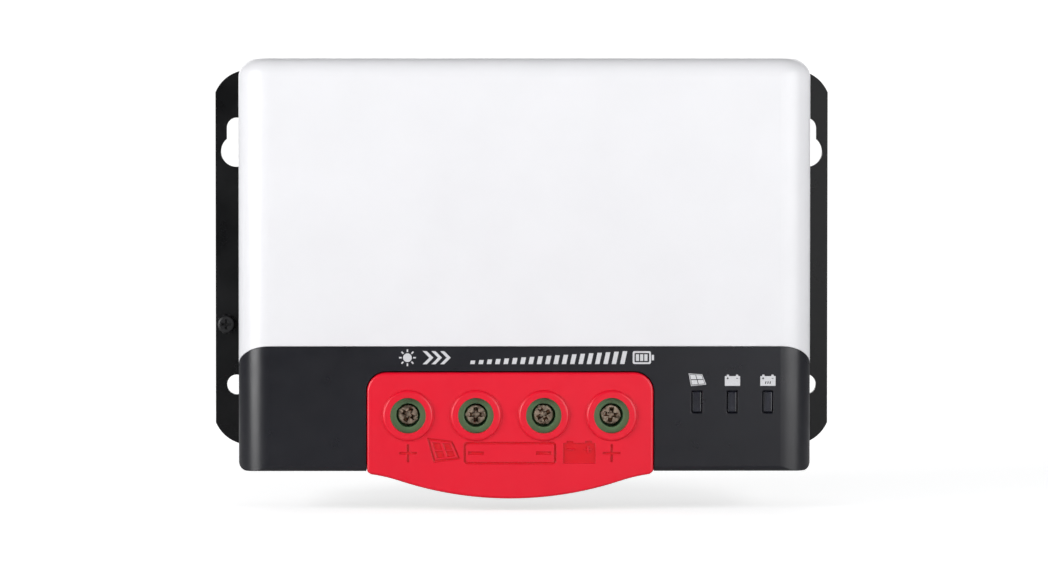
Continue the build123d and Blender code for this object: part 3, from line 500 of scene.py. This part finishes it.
# ---------------------------------------------------------------- small parts on the circuit board
def boxes_piece(name, boxes, material, edge=0.08):
    """Many small blocks with bevelled edges, as one piece. A block is its X, Z and height ranges in mm."""
    mesh = bpy.data.meshes.new(name)
    build = bmesh.new()
    for x0, x1, z0, z1, low, high in boxes:
        centre = Vector(((x0 + x1) / 2, -(low + high) / 2, (z0 + z1) / 2)) * MM
        size = Vector((x1 - x0, high - low, z1 - z0)) * MM
        place = Matrix.Translation(centre) @ Matrix.Diagonal((*size, 1))
        block = bmesh.ops.create_cube(build, size=1, matrix=place)["verts"]
        edges = list({e for v in block for e in v.link_edges})
        bmesh.ops.bevel(build, geom=edges, offset=edge * MM, segments=2, affect="EDGES", profile=0.5)
    build.to_mesh(mesh)
    build.free()
    mesh.materials.append(material)
    piece = bpy.data.objects.new(name, mesh)
    bpy.context.scene.collection.objects.link(piece)
    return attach(piece, HOUSING)


def chip_row(x, z, count, step_x=0.0, step_z=0.0, across=False):
    return [(x + step_x * i, z + step_z * i, across) for i in range(count)]


def chip_places():
    """Where the board's two-ended chip parts sit in rows, and whether each lies across the board."""
    by_gates = []
    for x in (-64, -40, -16, 16, 40, 64):
        by_gates += chip_row(x - 2.6, 44.6, 2, step_x=5.2)
    sensing = chip_row(-80, -34, 6, step_x=3.4) + chip_row(-80, -41, 6, step_x=3.4)
    by_lamps = chip_row(50, -18, 9, step_x=3.2)
    by_chip = chip_row(52, 4.5, 6, step_x=4.6, across=True)
    by_chip += chip_row(70.5, -10, 4, step_z=3, across=True)
    by_shunts = [place for place in chip_row(-30, -12, 17, step_x=3.2) if abs(place[0]) > 2]
    return by_gates + sensing + by_lamps + by_chip + by_shunts


def board_parts():
    """Chip resistors and capacitors with tinned ends, and three small-outline packages with their legs."""
    board = -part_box("main_board")[0].y / MM
    resistors, capacitors, ends, bodies = [], [], [], []
    for index, (x, z, across) in enumerate(chip_places()):
        half_x, half_z = (1.0, 0.62) if across else (0.62, 1.0)
        tall = 0.95 if index % 3 == 1 else 0.55
        bulk = (x - half_x + 0.3 * across, x + half_x - 0.3 * across)
        bulk += (z - half_z + 0.3 * (not across), z + half_z - 0.3 * (not across))
        kind = capacitors if index % 3 == 1 else resistors
        kind.append((*bulk, board + 0.02, board + tall - 0.03))
        for side in (-1, 1):
            cx, cz = (x + side * (half_x - 0.1), z) if across else (x, z + side * (half_z - 0.1))
            wx, wz = (0.4, half_z) if across else (half_x, 0.4)
            ends.append((cx - wx, cx + wx, cz - wz, cz + wz, board, board + tall))
    for x, z in ((-70, -24), (-58, -24), (2, -18)):
        bodies.append((x - 2.5, x + 2.5, z - 1.95, z + 1.95, board + 0.15, board + 1.6))
        for i in range(4):
            leg = x + 1.27 * (i - 1.5)
            for side in (-1, 1):
                near, far = sorted((z + side * 1.8, z + side * 3.0))
                ends.append((leg - 0.2, leg + 0.2, near, far, board, board + 0.3))
    boxes_piece("board_resistors", resistors, FINISHES["package_epoxy"])
    boxes_piece("board_capacitors", capacitors, CERAMIC)
    boxes_piece("board_packages", bodies, FINISHES["package_epoxy"], 0.12)
    boxes_piece("board_tinned_ends", ends, FINISHES["tin_contact"], 0.06)


# ---------------------------------------------------------------- studio
def studio_floor():
    """A pale round floor just under the object, fading out at its edge. Its underside is see-through."""
    radius, height, steps = 1.0, -0.0825, 96
    mesh = bpy.data.meshes.new("floor")
    rim = [(x, y, 0) for x, y in circle_loop(0, 0, radius, steps)]
    mesh.from_pydata(rim, [], [tuple(range(steps))])
    floor = bpy.data.objects.new("floor", mesh)
    floor.location = (0, 0, height)
    bpy.context.scene.collection.objects.link(floor)
    finish = Finish("pale_floor", (0.86, 0.86, 0.865), 0.8)
    finish.tint(finish.noise(60 * MM), 0.004)
    seen = finish.node("LightPath").outputs["Is Camera Ray"]
    glow = finish.spread(seen, 0.0, FLOOR_GLOW, near=0, far=1)
    finish.shader.inputs["Emission Color"].default_value = (1, 1, 1, 1)
    finish.tree.links.new(glow, finish.shader.inputs["Emission Strength"])
    reach = finish.node("VectorMath", {0: finish.space}, operation="LENGTH").outputs["Value"]
    span = {"Value": reach, "From Min": 0.4 * radius, "From Max": 0.95 * radius}
    fade = finish.node("MapRange", span, interpolation_type="SMOOTHSTEP")
    behind = finish.node("NewGeometry").outputs["Backfacing"]
    gone = finish.node("Math", {0: fade.outputs["Result"], 1: behind}, operation="MAXIMUM").outputs[0]
    clear = finish.node("BsdfTransparent").outputs[0]
    mixed = finish.node("MixShader", {0: gone, 1: finish.shader.outputs[0], 2: clear}).outputs[0]
    finish.tree.links.new(mixed, finish.tree.nodes["Material Output"].inputs["Surface"])
    mesh.materials.append(finish.material)


def softbox(name, azimuth, elevation, distance, width, height, radiance):
    """A soft area light that looks at the object. Azimuth is from the front, positive to the right."""
    light = bpy.data.lights.new(name, "AREA")
    light.shape = "RECTANGLE"
    light.size, light.size_y = width, height
    light.energy = radiance * pi * width * height
    lamp = bpy.data.objects.new(name, light)
    lamp.visible_camera = False
    a, e = radians(azimuth), radians(elevation)
    out = Vector((sin(a) * cos(e), -cos(a) * cos(e), sin(e)))
    lamp.location = Vector((0, -0.03, 0)) + out * distance
    lamp.rotation_euler = out.to_track_quat("Z", "Y").to_euler()
    bpy.context.scene.collection.objects.link(lamp)
    return lamp


def studio_world():
    """A dim even surround that the camera sees as white paper."""
    world = bpy.data.worlds.new("studio")
    world.use_nodes = True
    tree = world.node_tree
    background = tree.nodes["Background"]
    background.inputs["Color"].default_value = (0.97, 0.985, 1.0, 1)
    background.inputs["Strength"].default_value = 0.13
    paper = tree.nodes.new("ShaderNodeBackground")
    paper.inputs["Color"].default_value = (1, 1, 1, 1)
    paper.inputs["Strength"].default_value = 1.1
    path = tree.nodes.new("ShaderNodeLightPath")
    mix = tree.nodes.new("ShaderNodeMixShader")
    tree.links.new(path.outputs["Is Camera Ray"], mix.inputs[0])
    tree.links.new(background.outputs[0], mix.inputs[1])
    tree.links.new(paper.outputs[0], mix.inputs[2])
    tree.links.new(mix.outputs[0], tree.nodes["World Output"].inputs["Surface"])
    bpy.context.scene.world = world


def studio_camera():
    """A long lens a metre in front, slightly left of the middle and above it."""
    data = bpy.data.cameras.new("camera")
    data.sensor_width = 36.0
    data.lens = 103.05
    camera = bpy.data.objects.new("camera", data)
    data.shift_x = 0.0343
    camera.location = (-0.0214, -1.059, 0.0115)
    aim = Vector((-0.0124, -0.059, -0.00667)) - camera.location
    camera.rotation_euler = aim.to_track_quat("-Z", "Y").to_euler()
    bpy.context.scene.collection.objects.link(camera)
    bpy.context.scene.camera = camera


def studio():
    """The stage: floor, surround, softboxes (azimuth, elevation, distance, size, radiance) and camera."""
    studio_floor()
    studio_world()
    softbox("left_softbox", -58, 8, 1.4, 0.72, 1.0, 8.8)
    softbox("right_softbox", 50, 8, 1.4, 1.0, 1.25, 4.15)
    softbox("front_fill", 19, 3, 2.2, 0.75, 1.0, 1.9)
    softbox("back_left", 197, 20, 1.7, 0.9, 0.9, 2.2)
    softbox("back_right", 165, 20, 1.7, 0.9, 0.9, 1.6)
    studio_camera()
    bpy.context.scene.view_settings.view_transform = "Standard"


dress_nodes()
printed_marks()
board_parts()
studio()
